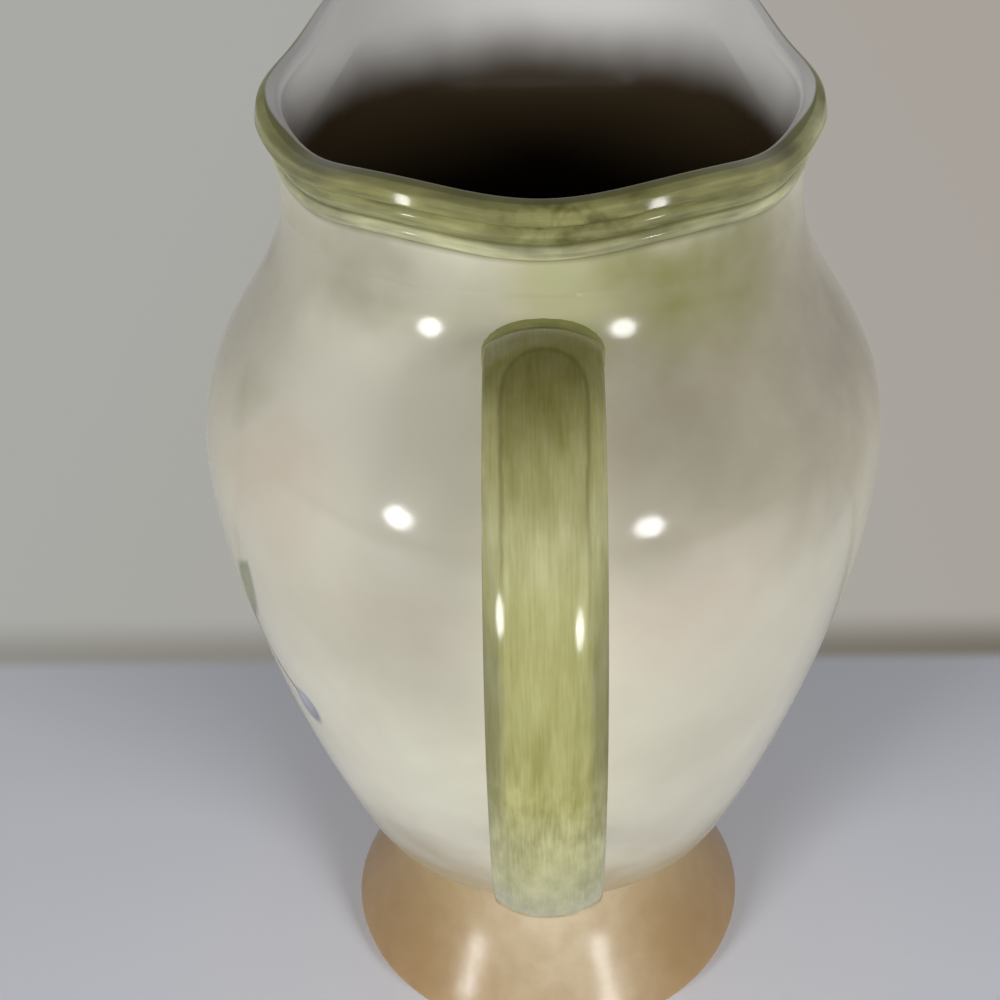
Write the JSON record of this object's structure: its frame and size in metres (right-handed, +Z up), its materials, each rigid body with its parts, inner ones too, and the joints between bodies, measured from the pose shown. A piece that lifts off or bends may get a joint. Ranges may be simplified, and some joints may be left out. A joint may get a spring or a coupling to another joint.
{
  "type": "footed pitcher",
  "caption": "Footed ceramic pitcher with a swelling belly, a reeded scalloped rim, a raised pouring spout and a strap handle.",
  "frame": {"origin": "centre of the standing ring under the foot, in the plane of the table", "axes": "+Z up along the axis of the foot, bowl and neck; +Y to the spout; -Y to the handle"},
  "size_m": [0.15, 0.1845, 0.2466],
  "materials": {
    "cream_glaze": "gloss",
    "green_glaze": "gloss",
    "amber_glaze": "gloss",
    "strap_glaze": "gloss",
    "joint_slip": "gloss"
  },
  "bodies": {
    "root": {"bowl": "cream_glaze", "spout_collar": "green_glaze", "foot": "amber_glaze", "handle": "strap_glaze", "foot_slip_joint": "joint_slip", "collar_slip_joint": "joint_slip", "handle_upper_slip_joint": "joint_slip", "handle_lower_slip_joint": "joint_slip"}
  },
  "joints": []
}
